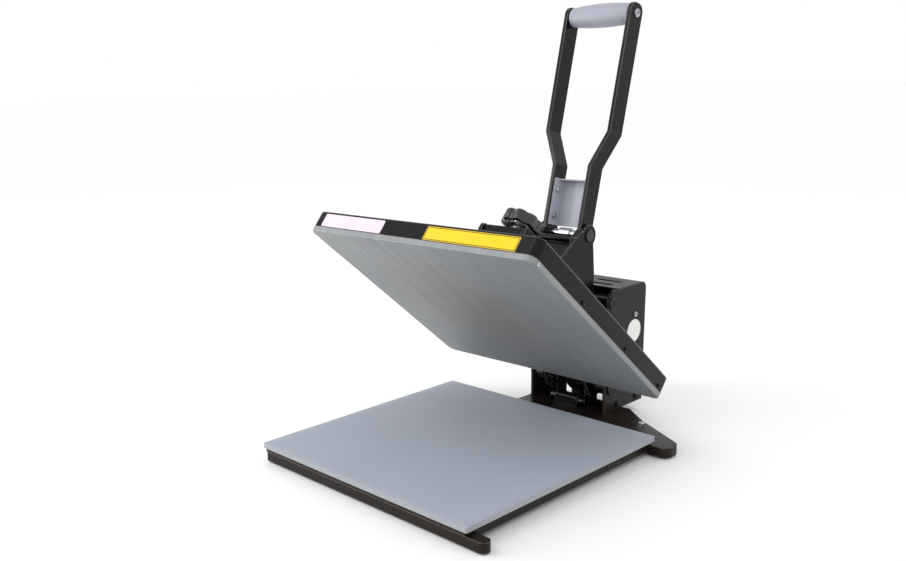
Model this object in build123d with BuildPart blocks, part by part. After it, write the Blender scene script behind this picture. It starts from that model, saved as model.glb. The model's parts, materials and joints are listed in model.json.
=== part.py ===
from build123d import *
import math
import os

# A clamshell heat press for a 38 x 38 cm work area.
# X to the right, Y to the back, Z up. Heights here are above the bench; each finished piece is
# then lowered so that the origin is the centre of the work table's upper face.
# The upper assembly is drawn closed and then swung up to its open rest place.

# ---- driving dimensions, mm ----
PAD_SIDE = 380.0                # side of the square pad on the table
PAD_TOP = 27.0                  # height of the working face above the bench
PAD_THICK = 7.0
FEET = 2.0                      # rubber under the feet
FOOT_HIGH = 15.0                # top of the front foot
REAR_FOOT_HIGH = 16.0           # top of the rear foot, which carries the column
FOOT_END = 214.0                # how far the feet reach out sideways
COLUMN_HALF = 70.0              # half width over the column
COLUMN_FRONT = 244.0
COLUMN_BACK = 343.0
COLUMN_TOP = 203.0
SIDE_THICK = 4.0                # column side plates
SHEET = 1.5                     # folded covers
HINGE = (260.0, 53.0)           # arm hinge, Y and Z
OPEN_ANGLE = 39.6               # how far the arms stand open, degrees
PRESS_GAP = 2.5                 # closed, the plate stops this far above the pad at zero pressure
PLATE_THICK = 7.0
PLATEN_WIDE = 388.0             # heating plate across, and its closed front and rear edges
PLATEN_FRONT = -170.0
PLATEN_REAR = 190.0
PLATEN_HIGH = 32.0              # heating plate and cover together
PLATEN_CORNER = 10.0
YOKE_IN = 34.6                  # inner face of the arm plates
YOKE_THICK = 6.0
PIVOT = (95.5, 213.0)           # handle pivot on the closed arms, Y and Z
PIVOT_R = 6.0
BAR_IN = 28.0                   # inner face of the handle bars
BAR_THICK = 6.0
BAR_WIDE = 30.0
BAR_SPREAD = 22.5               # how far the bars step outward
JOG_START, JOG_END = 99.0, 147.0
HANDLE_LONG = 313.0             # pivot to grip
HANDLE_LEAN = 14.0              # the open handle leans back from upright, degrees
LINK_PIVOT = (254.4, 182.8)     # toggle link pivot on the column, Y and Z
LINK_PIN = (-55.34, -63.68)     # link pin at the handle's horn, in the handle's own axes
HORN_SLOT = (20.8, 18.4)        # room for that pin in the horn: travel towards the pivot, and width
LINK_IN = 21.2
LINK_THICK = 6.0
SPRING_X = 26.0                 # gas springs stand this far each side
SPRING_FOOT = (250.0, 25.0)     # lower eye, Y and Z
SPRING_HEAD = (165.0, 112.0)    # upper eye on the closed arms, Y and Z
FIT = 0.05                      # radial play of a running fit
EASED = 0.7                     # sharp edges are broken by this much

YOKE_OUT = YOKE_IN + YOKE_THICK
SIDE_IN = COLUMN_HALF - SIDE_THICK
FACE = PAD_TOP + PRESS_GAP
COVER_TOP = FACE + PLATEN_HIGH
PLATEN_DEEP = PLATEN_REAR - PLATEN_FRONT
PLATEN_MIDDLE = (PLATEN_REAR + PLATEN_FRONT) / 2
SCREW_R = 8.0
KNOB_LOW, KNOB_HIGH = 160.0, 180.0
BLOCK_LOW, BLOCK_HIGH = 92.0, 148.0


def swing(y, z, angle):
    """A point in the Y-Z plane turned about the arm hinge, in degrees about +X."""
    turn = math.radians(angle)
    dy = y - HINGE[0]
    dz = z - HINGE[1]
    across = dy * math.cos(turn) - dz * math.sin(turn)
    up = dy * math.sin(turn) + dz * math.cos(turn)
    return HINGE[0] + across, HINGE[1] + up


PIVOT_OPEN = swing(*PIVOT, -OPEN_ANGLE)
HEAD_OPEN = swing(*SPRING_HEAD, -OPEN_ANGLE)
LEAN = math.radians(HANDLE_LEAN)
PIN_OPEN = (
    PIVOT_OPEN[0] + LINK_PIN[0] * math.cos(LEAN) + LINK_PIN[1] * math.sin(LEAN),
    PIVOT_OPEN[1] - LINK_PIN[0] * math.sin(LEAN) + LINK_PIN[1] * math.cos(LEAN),
)
LINK_LONG = math.dist(LINK_PIVOT, PIN_OPEN)
SPRING_LONG = math.dist(SPRING_FOOT, HEAD_OPEN)

ARMS_UP = (
    Location((0, HINGE[0], HINGE[1]), (-OPEN_ANGLE, 0, 0))
    * Location((0, -HINGE[0], -HINGE[1]))
)
HANDLE_UP = Location((0, *PIVOT_OPEN), (-HANDLE_LEAN, 0, 0))


def aimed(start, end):
    """A place at start, with its own +Z pointing at end, both in the Y-Z plane."""
    tilt = math.degrees(math.atan2(end[0] - start[0], end[1] - start[1]))
    return Location((0, *start), (-tilt, 0, 0))


def side_plane(x):
    """A sketch plane facing +X at the given X, with Y across and Z up."""
    return Plane(origin=(x, 0, 0), x_dir=(0, 1, 0), z_dir=(1, 0, 0))


TO_ORIGIN = Location((0, 0, -PAD_TOP))
AS_DRAWN = Location((0, 0, 0))


def keep(builder, label, place=AS_DRAWN):
    """Set a finished piece in its rest place, label it and write its STEP file."""
    part = builder.part.moved(TO_ORIGIN * place)
    part.label = label
    export_step(part, f"parts/{label}.step")


os.makedirs("parts", exist_ok=True)

# ================= base =================

# Front foot: a folded channel whose right end stands out past the table and is rounded
with BuildPart() as front_foot:
    with BuildSketch(Plane.XY.offset(FEET)):
        with Locations((15, -180)):
            Rectangle(398, 16)
        right_end = vertices().group_by(Axis.X)[-1]
        fillet(right_end, 7.5)
    extrude(amount=FOOT_HIGH - FEET)
    offset(amount=-2.5, openings=front_foot.faces().sort_by(Axis.Z)[0])
keep(front_foot, "front_foot")

# Rear foot: a wide folded plate with round tips, cut away diagonally behind on the right
with BuildPart() as rear_foot:
    with BuildSketch(Plane.XY.offset(FEET)):
        with BuildLine():
            Polyline(
                (-FOOT_END, 181), (FOOT_END, 181), (FOOT_END, 209), (127, 257), (84, 289),
                (-72, 289), (-72, 211), (-FOOT_END, 209), close=True,
            )
        make_face()
        tips = vertices().group_by(Axis.X)[-1] + vertices().group_by(Axis.X)[0]
        fillet(tips, 12)
    extrude(amount=REAR_FOOT_HIGH - FEET)
    offset(amount=-2.5, openings=rear_foot.faces().sort_by(Axis.Z)[0])
keep(rear_foot, "rear_foot")

# Rubber pads under the four foot ends
with BuildPart() as rubber_feet:
    with BuildSketch():
        with Locations((-172, -180), (202, -180), (-196, 196), (196, 196)):
            Circle(6.5)
        with Locations((-58, 274), (66, 274)):
            Circle(9)
    extrude(amount=FEET)
keep(rubber_feet, "rubber_feet")

# Two rails carry the table from the front foot to the rear foot
with BuildPart() as base_rails:
    with BuildSketch(Plane.XZ.offset(-180.5)):
        with Locations((-52, 10.5), (52, 10.5)):
            Rectangle(30, 15)
            Rectangle(26, 11, mode=Mode.SUBTRACT)
    extrude(amount=352)
keep(base_rails, "base_rails")

# Table tray: a shallow folded pan, turned down all round
with BuildPart() as lower_tray:
    with Locations((0, -1, 7)):
        Box(371, 374, 13, align=(Align.CENTER, Align.CENTER, Align.MIN))
        Box(368, 371, 11.5, align=(Align.CENTER, Align.CENTER, Align.MIN), mode=Mode.SUBTRACT)
    with Locations((0, -179.5, 7)):
        Box(400, 17.5, 8.3, align=(Align.CENTER, Align.CENTER, Align.MIN), mode=Mode.SUBTRACT)
    with Locations((0, 184, 7)):
        Box(400, 8, 9.3, align=(Align.CENTER, Align.CENTER, Align.MIN), mode=Mode.SUBTRACT)
keep(lower_tray, "lower_tray")

# Silicone sponge pad, cut square
with BuildPart() as silicone_pad:
    with Locations((0, 0, PAD_TOP - PAD_THICK)):
        Box(PAD_SIDE, PAD_SIDE, PAD_THICK, align=(Align.CENTER, Align.CENTER, Align.MIN))
    fillet(silicone_pad.edges().filter_by(Axis.Z), 2.5)
keep(silicone_pad, "silicone_pad")

# ================= column =================

CONTROL = (315.0, 130.0)        # centre of the controller in the left side, Y and Z
CONTROL_SIZE = (44.0, 84.0)
LOW_SCREWS = [(316, 60), (275, 24), (325, 24)]
LEFT_SCREWS = LOW_SCREWS + [(316, 190)]
RIGHT_SCREWS = LOW_SCREWS + [(316, 156)]


def side_plate(x_low, screws, controller_hole):
    """One load-carrying side of the column, bored for the hinge pin and the link shaft."""
    with BuildPart() as plate:
        with BuildSketch(side_plane(x_low)):
            with BuildLine():
                Polyline(
                    (COLUMN_FRONT, REAR_FOOT_HIGH), (COLUMN_BACK - SHEET, REAR_FOOT_HIGH),
                    (COLUMN_BACK - SHEET, COLUMN_TOP - SHEET), (258, COLUMN_TOP - SHEET),
                    (COLUMN_FRONT, 188), close=True,
                )
            make_face()
            rear_top = vertices().group_by(Axis.Y)[-1].sort_by(Axis.X)[-1]
            fillet(rear_top, 9)
            with Locations(HINGE):
                Circle(8, mode=Mode.SUBTRACT)
            with Locations(LINK_PIVOT):
                Circle(PIVOT_R, mode=Mode.SUBTRACT)
            with Locations(*screws):
                Circle(2, mode=Mode.SUBTRACT)
            if controller_hole:
                with Locations(CONTROL):
                    Rectangle(*CONTROL_SIZE, mode=Mode.SUBTRACT)
        extrude(amount=SIDE_THICK)
        front_edges = plate.faces().sort_by(Axis.Y)[0].edges().filter_by(Axis.Z)
        chamfer(front_edges, EASED)
    return plate


keep(side_plate(-COLUMN_HALF, LEFT_SCREWS, True), "column_left_plate")
keep(side_plate(SIDE_IN, RIGHT_SCREWS, False), "column_right_plate")

# Rear cover: one sheet folded over the top and down the back, with vents and cut-outs
SWITCH = (-34.0, 70.0)
INLET = (30.0, 70.0)
with BuildPart() as rear_cover:
    with BuildSketch(side_plane(-COLUMN_HALF)):
        with BuildLine():
            outside = FilletPolyline(
                (268, COLUMN_TOP), (COLUMN_BACK, COLUMN_TOP), (COLUMN_BACK, REAR_FOOT_HIGH),
                radius=9 + SHEET,
            )
            inside = FilletPolyline(
                (268, COLUMN_TOP - SHEET), (COLUMN_BACK - SHEET, COLUMN_TOP - SHEET),
                (COLUMN_BACK - SHEET, REAR_FOOT_HIGH), radius=9,
            )
            Line(outside @ 0, inside @ 0)
            Line(outside @ 1, inside @ 1)
        make_face()
    extrude(amount=2 * COLUMN_HALF)
    with BuildSketch(Plane.XY.offset(COLUMN_TOP)):
        with Locations((-28, 285), (28, 285), (-28, 309), (28, 309)):
            SlotOverall(44, 8)
    extrude(amount=-3 * SHEET, mode=Mode.SUBTRACT)
    with BuildSketch(Plane.XZ.offset(-COLUMN_BACK)):
        with Locations(SWITCH):
            Rectangle(13, 19.4)
        with Locations(INLET):
            Rectangle(27, 20)
    extrude(amount=3 * SHEET, mode=Mode.SUBTRACT)
keep(rear_cover, "rear_cover")

# Inner bulkhead between the arm bay and the electrics, with two upright slots and a cable way
CABLE_END = (291.0, 31.0)
with BuildPart() as bulkhead:
    with BuildSketch(Plane.XZ.offset(-291)):
        with Locations((0, 100.5)):
            Rectangle(2 * SIDE_IN - 0.2, 169)
        with Locations((-29, 27), (29, 27)):
            Rectangle(11, 19, mode=Mode.SUBTRACT)
        with Locations((0, CABLE_END[1])):
            SlotOverall(31, 12, mode=Mode.SUBTRACT)
    extrude(amount=2)
keep(bulkhead, "bulkhead")

# Round-head screws through the column sides, two for the cover and two for the foot flange
with BuildPart() as column_screws:
    for out, screws in ((1, RIGHT_SCREWS), (-1, LEFT_SCREWS)):
        x = COLUMN_HALF * out
        with BuildSketch(side_plane(x)):
            with Locations(*screws):
                Circle(4.2)
        extrude(amount=2.4 * out)
        with BuildSketch(side_plane(x)):
            with Locations(*screws):
                Circle(2)
        extrude(amount=-SIDE_THICK * out)
keep(column_screws, "column_screws")

# Hexagon bolts that hold the rear foot
with BuildPart() as foot_bolts:
    with BuildSketch(Plane.XY.offset(REAR_FOOT_HIGH)):
        with Locations((-110, 196), (136, 240)):
            RegularPolygon(5.5, 6)
    extrude(amount=4)
    chamfer(foot_bolts.faces().sort_by(Axis.Z)[-2:].edges(), 0.5)
keep(foot_bolts, "foot_bolts")

# Blank round sticker
with BuildPart() as round_label:
    with BuildSketch(side_plane(COLUMN_HALF)):
        with Locations((314, 131)):
            Circle(17.5)
    extrude(amount=0.3)
keep(round_label, "round_label")

# Two stub pins that carry the arms, each with a round head outside
with BuildPart() as hinge_pins:
    for out in (1, -1):
        with BuildSketch(side_plane(YOKE_IN * out)):
            with Locations(HINGE):
                Circle(8)
        extrude(amount=(COLUMN_HALF - YOKE_IN) * out)
        with BuildSketch(side_plane(COLUMN_HALF * out)):
            with Locations(HINGE):
                Circle(12)
        extrude(amount=4 * out)
    chamfer(hinge_pins.faces().sort_by(Axis.X)[-1].edges(), 1)
    chamfer(hinge_pins.faces().sort_by(Axis.X)[0].edges(), 1)
keep(hinge_pins, "hinge_pins")

# Cross shaft on which the toggle links turn, with a cap nut outside each column side
with BuildPart() as link_shaft:
    with BuildSketch(side_plane(-COLUMN_HALF)):
        with Locations(LINK_PIVOT):
            Circle(PIVOT_R)
    extrude(amount=2 * COLUMN_HALF)
    for out in (1, -1):
        with BuildSketch(side_plane(COLUMN_HALF * out)):
            with Locations(LINK_PIVOT):
                Circle(9)
        extrude(amount=4 * out)
    chamfer(link_shaft.faces().sort_by(Axis.X)[-1].edges(), 1.5)
    chamfer(link_shaft.faces().sort_by(Axis.X)[0].edges(), 1.5)
keep(link_shaft, "link_shaft")

# Tubes that keep the arms and the links in their places along the shafts
with BuildPart() as shaft_spacers:
    for out in (1, -1):
        with BuildSketch(side_plane((YOKE_OUT + 0.5) * out)):
            with Locations(HINGE):
                Circle(12)
                Circle(8, mode=Mode.SUBTRACT)
        extrude(amount=(SIDE_IN - YOKE_OUT - 0.5) * out)
        with BuildSketch(side_plane((LINK_IN + LINK_THICK + 0.5) * out)):
            with Locations(LINK_PIVOT):
                Circle(9)
                Circle(PIVOT_R, mode=Mode.SUBTRACT)
        extrude(amount=(SIDE_IN - LINK_IN - LINK_THICK - 0.5) * out)
    with BuildSketch(side_plane(0)):
        with Locations(LINK_PIVOT):
            Circle(9)
            Circle(PIVOT_R, mode=Mode.SUBTRACT)
    extrude(amount=LINK_IN - 0.5, both=True)
keep(shaft_spacers, "shaft_spacers")

# Block and pin that hold the lower eyes of the gas springs
with BuildPart() as spring_anchor:
    with Locations((0, SPRING_FOOT[0], REAR_FOOT_HIGH)):
        Box(40, 16, 17, align=(Align.CENTER, Align.CENTER, Align.MIN))
    fillet(spring_anchor.faces().sort_by(Axis.Z)[-1].edges().filter_by(Axis.X), 5)
    with BuildSketch(side_plane(-31)):
        with Locations(SPRING_FOOT):
            Circle(4)
    extrude(amount=62)
keep(spring_anchor, "spring_anchor")

# Three heater and sensor leads, from the gland on the raised platen round to the cable way
LEAD_R = 3.25
GLAND_Z = HINGE[1] - 4          # height of the gland's middle with the platen closed
GLAND_END = PLATEN_REAR + 14
LEAD_ROUTE = [
    swing(GLAND_END + 0.05, GLAND_Z, -OPEN_ANGLE), swing(GLAND_END + 24, GLAND_Z, -OPEN_ANGLE),
    (252.0, 58.0), (263.0, 42.0), (274.0, 33.0), CABLE_END,
]


def bend_radii(route):
    """The largest even arc for each corner: 0.45 of the shorter run over tan(half the turn)."""
    radii = []
    for before, corner, after in zip(route, route[1:], route[2:]):
        coming = Vector(corner[0] - before[0], corner[1] - before[1])
        going = Vector(after[0] - corner[0], after[1] - corner[1])
        half_turn = math.radians(coming.get_angle(going)) / 2
        radii.append(0.45 * min(coming.length, going.length) / math.tan(half_turn))
    return radii


LEAD_RADII = bend_radii(LEAD_ROUTE)
print("lead bend radii", [round(r, 1) for r in LEAD_RADII])
with BuildPart() as heater_cable:
    for x in (-9, 0, 9):
        with BuildLine() as lead_path:
            FilletPolyline(*[(x, y, z) for y, z in LEAD_ROUTE], radius=LEAD_RADII)
        with BuildSketch(Plane(lead_path.line @ 0, z_dir=lead_path.line % 0)):
            Circle(LEAD_R)
        sweep()
lead_long = lead_path.wire().length
print("lead length", round(lead_long, 1))
print("volume over section x length", heater_cable.part.volume / (3 * math.pi * LEAD_R**2 * lead_long))
keep(heater_cable, "heater_cable")

# ---- controller in the left side of the column ----
with BuildPart() as controller_body:
    with Locations((-56.5, *CONTROL)):
        Box(27, CONTROL_SIZE[0] - 0.4, CONTROL_SIZE[1] - 0.4)
    with Locations((-COLUMN_HALF - 2, *CONTROL)):
        Box(4, CONTROL_SIZE[0] + 8, CONTROL_SIZE[1] + 8)
    chamfer(controller_body.faces().sort_by(Axis.X)[0].edges(), 1.2)
    with Locations((-COLUMN_HALF - 4, CONTROL[0], CONTROL[1] + 16)):
        Box(6, 36, 24, mode=Mode.SUBTRACT)
    with BuildSketch(side_plane(-COLUMN_HALF - 4)):
        with Locations(*[(CONTROL[0] + y, CONTROL[1] - 20) for y in (-14, 0, 14)]):
            Circle(4.4)
    extrude(amount=7, mode=Mode.SUBTRACT)
keep(controller_body, "controller_body")

with BuildPart() as display_window:
    with Locations((-COLUMN_HALF - 2.2, CONTROL[0], CONTROL[1] + 16)):
        Box(2.4, 35.6, 23.6)
keep(display_window, "display_window")

for name, shift in (("down", -14), ("set", 0), ("up", 14)):
    with BuildPart() as button:
        with BuildSketch(side_plane(-COLUMN_HALF - 5)):
            with Locations((CONTROL[0] + shift, CONTROL[1] - 20)):
                Circle(4)
        extrude(amount=5.5)
        fillet(button.faces().sort_by(Axis.X)[0].edges(), 0.8)
    keep(button, f"button_{name}")

# ---- electrics at the back ----
with BuildPart() as switch_frame:
    with Locations((SWITCH[0], COLUMN_BACK, SWITCH[1])):
        Box(16, 2, 22.4, align=(Align.CENTER, Align.MIN, Align.CENTER))
        Box(12.6, 16, 19, align=(Align.CENTER, Align.MAX, Align.CENTER))
        with Locations((0, 2, 0)):
            Box(9.6, 12, 15.6, align=(Align.CENTER, Align.MAX, Align.CENTER), mode=Mode.SUBTRACT)
    chamfer(switch_frame.faces().sort_by(Axis.Y)[-1].edges(), 0.5)
keep(switch_frame, "switch_frame")

# Rocker, a shallow V that tips about its middle, stored in its off position
ROCKER_TIP = -7
ROCKER_AXIS = (0, COLUMN_BACK - 1, SWITCH[1])
ROCKER_OFF = (
    Location(ROCKER_AXIS, (ROCKER_TIP, 0, 0)) * Location((0, -ROCKER_AXIS[1], -ROCKER_AXIS[2]))
)
with BuildPart() as switch_rocker:
    with BuildSketch(side_plane(SWITCH[0] - 4.4)):
        with BuildLine():
            Polyline(
                (COLUMN_BACK + 3.4, SWITCH[1] - 7.0), (COLUMN_BACK + 2.2, SWITCH[1]),
                (COLUMN_BACK + 3.4, SWITCH[1] + 7.0), (COLUMN_BACK - 3.0, SWITCH[1] + 5.6),
                (COLUMN_BACK - 3.0, SWITCH[1] - 5.6), close=True,
            )
        make_face()
        with Locations((COLUMN_BACK - 1, SWITCH[1])):
            Circle(3.2)
    extrude(amount=8.8)
    with BuildSketch(side_plane(SWITCH[0] - 4.7)):
        with Locations((COLUMN_BACK - 1, SWITCH[1])):
            Circle(1.6)
    extrude(amount=9.4)
keep(switch_rocker, "switch_rocker", ROCKER_OFF)

with BuildPart() as power_inlet:
    with Locations((INLET[0], COLUMN_BACK, INLET[1])):
        Box(34, 2.5, 26, align=(Align.CENTER, Align.MIN, Align.CENTER))
        Box(26.6, 22, 19.6, align=(Align.CENTER, Align.MAX, Align.CENTER))
        with Locations((0, 2.5, 0)):
            Box(23, 18, 15, align=(Align.CENTER, Align.MAX, Align.CENTER), mode=Mode.SUBTRACT)
    with BuildSketch(Plane.XZ.offset(-COLUMN_BACK + 15.5)):
        with Locations((INLET[0] - 7, INLET[1] - 2), (INLET[0], INLET[1] + 2), (INLET[0] + 7, INLET[1] - 2)):
            Rectangle(2, 4)
    extrude(amount=-12)
keep(power_inlet, "power_inlet")

# Solid-state relay on the back of the bulkhead
with BuildPart() as relay:
    with Locations((-20, 293, 120)):
        Box(45, 22, 60, align=(Align.CENTER, Align.MIN, Align.CENTER))
    fillet(relay.edges().filter_by(Axis.Y), 2)
keep(relay, "relay")

# ================= arms =================

YOKE_TUBES = ((60.0, 92.0), (125.0, 92.0))
YOKE_ROUND = 6.0
NECK_LOW, NECK_HIGH = (64.0, 142.5), (81.0, 204.5)
NECK_SLOPE = math.degrees(math.atan2(NECK_HIGH[0] - NECK_LOW[0], NECK_HIGH[1] - NECK_LOW[1]))


def arm_plate(x_low):
    """One arm plate, closed: from the pressure block back over the platen and down to the hinge."""
    with BuildPart() as plate:
        with BuildSketch(side_plane(x_low)):
            with BuildLine():
                Polyline(
                    (-26, 79), (-26, 142), NECK_LOW, NECK_HIGH, (104, 210), (138, 176),
                    (152, 158), (158, 134), (178, 118), (236, 76), (256, 60), (262, 40),
                    (240, 46), (201, 79), close=True,
                )
            make_face()
            offset(amount=YOKE_ROUND)
            with Locations(PIVOT):
                Circle(16.5)
            with Locations(HINGE):
                Circle(20)
                Circle(11, mode=Mode.SUBTRACT)
            with Locations(PIVOT):
                Circle(PIVOT_R, mode=Mode.SUBTRACT)
            with Locations(SPRING_HEAD):
                Circle(4, mode=Mode.SUBTRACT)
            with Locations(*YOKE_TUBES):
                Circle(4, mode=Mode.SUBTRACT)
        extrude(amount=YOKE_THICK)
        rims = plate.faces().filter_by(Axis.X).sort_by(Axis.X)
        chamfer(ShapeList(rims[0].outer_wire().edges() + rims[-1].outer_wire().edges()), EASED)
    return plate


keep(arm_plate(-YOKE_OUT), "arm_left_plate", ARMS_UP)
keep(arm_plate(YOKE_IN), "arm_right_plate", ARMS_UP)

# Plate welded across the front edges of the neck, stiffened by a round bead
with BuildPart() as neck_plate:
    with BuildSketch(side_plane(-YOKE_OUT)):
        with Locations(Location((*NECK_LOW, 0), (0, 0, -NECK_SLOPE))):
            with Locations((-YOKE_ROUND - 1.5, 30)):
                Rectangle(3, 44)
            with Locations((-YOKE_ROUND - 5, 43)):
                Circle(5)
    extrude(amount=2 * YOKE_OUT)
keep(neck_plate, "neck_plate", ARMS_UP)

# Threaded pressure block at the front of the arms, with bores for the screw and two guide rods
GUIDE_X = 24.0
GUIDE_R = 4.0
with BuildPart() as pressure_block:
    with Locations((0, -4, (BLOCK_LOW + BLOCK_HIGH) / 2)):
        Box(2 * YOKE_IN, 48, BLOCK_HIGH - BLOCK_LOW)
    fillet(pressure_block.edges().filter_by(Axis.X), 4)
    with BuildSketch(Plane.XY.offset(BLOCK_LOW)):
        Circle(SCREW_R + FIT)
        with Locations((-GUIDE_X, 0), (GUIDE_X, 0)):
            Circle(GUIDE_R + FIT)
    extrude(amount=BLOCK_HIGH - BLOCK_LOW, mode=Mode.SUBTRACT)
keep(pressure_block, "pressure_block", ARMS_UP)

# Spacer tubes between the plates and the through bolts that clamp them
with BuildPart() as arm_spacers:
    with BuildSketch(side_plane(0)):
        with Locations(*YOKE_TUBES):
            Circle(8)
            Circle(4, mode=Mode.SUBTRACT)
    extrude(amount=YOKE_IN, both=True)
keep(arm_spacers, "arm_spacers", ARMS_UP)

with BuildPart() as arm_bolts:
    with BuildSketch(side_plane(0)):
        with Locations(*YOKE_TUBES):
            Circle(4)
    extrude(amount=YOKE_OUT, both=True)
    for out in (1, -1):
        with BuildSketch(side_plane(YOKE_OUT * out)):
            with Locations(*YOKE_TUBES):
                RegularPolygon(7, 6)
        extrude(amount=5 * out)
keep(arm_bolts, "arm_bolts", ARMS_UP)

# Plain bushes in the hinge eyes
with BuildPart() as hinge_bushes:
    for x in (-YOKE_OUT, YOKE_IN):
        with BuildSketch(side_plane(x)):
            with Locations(HINGE):
                Circle(11)
                Circle(8 + FIT, mode=Mode.SUBTRACT)
        extrude(amount=YOKE_THICK)
keep(hinge_bushes, "hinge_bushes", ARMS_UP)

# Handle pivot pin, with a thick sleeve in the middle and low round heads
with BuildPart() as pivot_pin:
    with BuildSketch(side_plane(0)):
        with Locations(PIVOT):
            Circle(PIVOT_R)
    extrude(amount=YOKE_OUT, both=True)
    for out in (1, -1):
        with BuildSketch(side_plane(YOKE_OUT * out)):
            with Locations(PIVOT):
                Circle(9)
        extrude(amount=2.5 * out)
    chamfer(pivot_pin.faces().sort_by(Axis.X)[-1].edges(), 1)
    chamfer(pivot_pin.faces().sort_by(Axis.X)[0].edges(), 1)
keep(pivot_pin, "pivot_pin", ARMS_UP)

with BuildPart() as pivot_sleeve:
    with BuildSketch(side_plane(-10)):
        with Locations(PIVOT):
            Circle(8.5)
            Circle(PIVOT_R, mode=Mode.SUBTRACT)
    extrude(amount=20)
    chamfer(pivot_sleeve.edges().filter_by(GeomType.CIRCLE).group_by(SortBy.RADIUS)[-1], 0.8)
keep(pivot_sleeve, "pivot_sleeve", ARMS_UP)

# Upper pin of the gas springs
with BuildPart() as spring_head_pin:
    with BuildSketch(side_plane(0)):
        with Locations(SPRING_HEAD):
            Circle(4)
    extrude(amount=YOKE_OUT + 1.5, both=True)
keep(spring_head_pin, "spring_head_pin", ARMS_UP)

# ================= gas springs, drawn upright from the lower eye =================

SPRING_UP = aimed(SPRING_FOOT, HEAD_OPEN)
ROD_TOP = 62.0
TUBE_LOW = 34.0
with BuildPart() as spring_rods:
    for x in (-SPRING_X, SPRING_X):
        with BuildSketch(side_plane(x - 3.8)):
            Circle(7)
            Circle(4 + FIT, mode=Mode.SUBTRACT)
        extrude(amount=7.6)
        with BuildSketch(Plane.XY.offset(5.8)):
            with Locations((x, 0)):
                Circle(3.6)
        extrude(amount=8.2)
        with BuildSketch(Plane.XY.offset(14)):
            with Locations((x, 0)):
                Circle(4)
        extrude(amount=ROD_TOP - 14)
keep(spring_rods, "spring_rods", SPRING_UP)

# The upper eye is a slot in length, because it is the joint at which the closed chain is opened
with BuildPart() as spring_cylinders:
    for x in (-SPRING_X, SPRING_X):
        with BuildSketch(Plane.XY.offset(TUBE_LOW)):
            with Locations((x, 0)):
                Circle(7.5)
        extrude(amount=SPRING_LONG - 10 - TUBE_LOW)
        with BuildSketch(Plane.XY.offset(TUBE_LOW)):
            with Locations((x, 0)):
                Circle(4 + FIT)
        extrude(amount=SPRING_LONG - 22 - TUBE_LOW, mode=Mode.SUBTRACT)
        with BuildSketch(side_plane(x - 3.8)):
            with Locations((0, SPRING_LONG)):
                SlotOverall(22, 18, rotation=90)
        extrude(amount=7.6)
        with BuildSketch(side_plane(x - 3.9)):
            with Locations((0, SPRING_LONG)):
                SlotOverall(14, 10.4, rotation=90)
        extrude(amount=7.8, mode=Mode.SUBTRACT)
keep(spring_cylinders, "spring_cylinders", SPRING_UP)

# ================= toggle links =================

LINK_UP = aimed(LINK_PIVOT, PIN_OPEN)
with BuildPart() as toggle_links:
    for x in (LINK_IN, -LINK_IN - LINK_THICK):
        with BuildSketch(side_plane(x)):
            with Locations((0, LINK_LONG / 2)):
                SlotOverall(LINK_LONG + 24, 24, rotation=90)
                SlotOverall(LINK_LONG - 30, 9, rotation=90, mode=Mode.SUBTRACT)
            Circle(PIVOT_R + FIT, mode=Mode.SUBTRACT)
            with Locations((0, LINK_LONG)):
                Circle(5, mode=Mode.SUBTRACT)
        extrude(amount=LINK_THICK)
keep(toggle_links, "toggle_links", LINK_UP)

# Pin fixed in the upper ends of the links; its ends run in the slots of the handle's horns
with BuildPart() as link_pin:
    with BuildSketch(side_plane(0)):
        with Locations((0, LINK_LONG)):
            Circle(5)
    extrude(amount=BAR_IN + BAR_THICK, both=True)
    with BuildSketch(side_plane(0)):
        with Locations((0, LINK_LONG)):
            Circle(8)
    extrude(amount=LINK_IN, both=True)
keep(link_pin, "link_pin", LINK_UP)

# ================= handle, drawn upright with its pivot at the origin =================

BRACKET_BOLTS = ((-2.0, 24.0), (-2.0, 62.0))
HORN_ANGLE = math.degrees(math.atan2(-LINK_PIN[1], -LINK_PIN[0]))
SLOT_ANGLE = 51.4               # the pin's straightest path through the horn
HORN_WIDE = 32.0
SLOT_MIDDLE = (
    LINK_PIN[0] + HORN_SLOT[0] / 2 * math.cos(math.radians(SLOT_ANGLE)),
    LINK_PIN[1] + HORN_SLOT[0] / 2 * math.sin(math.radians(SLOT_ANGLE)),
)


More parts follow.
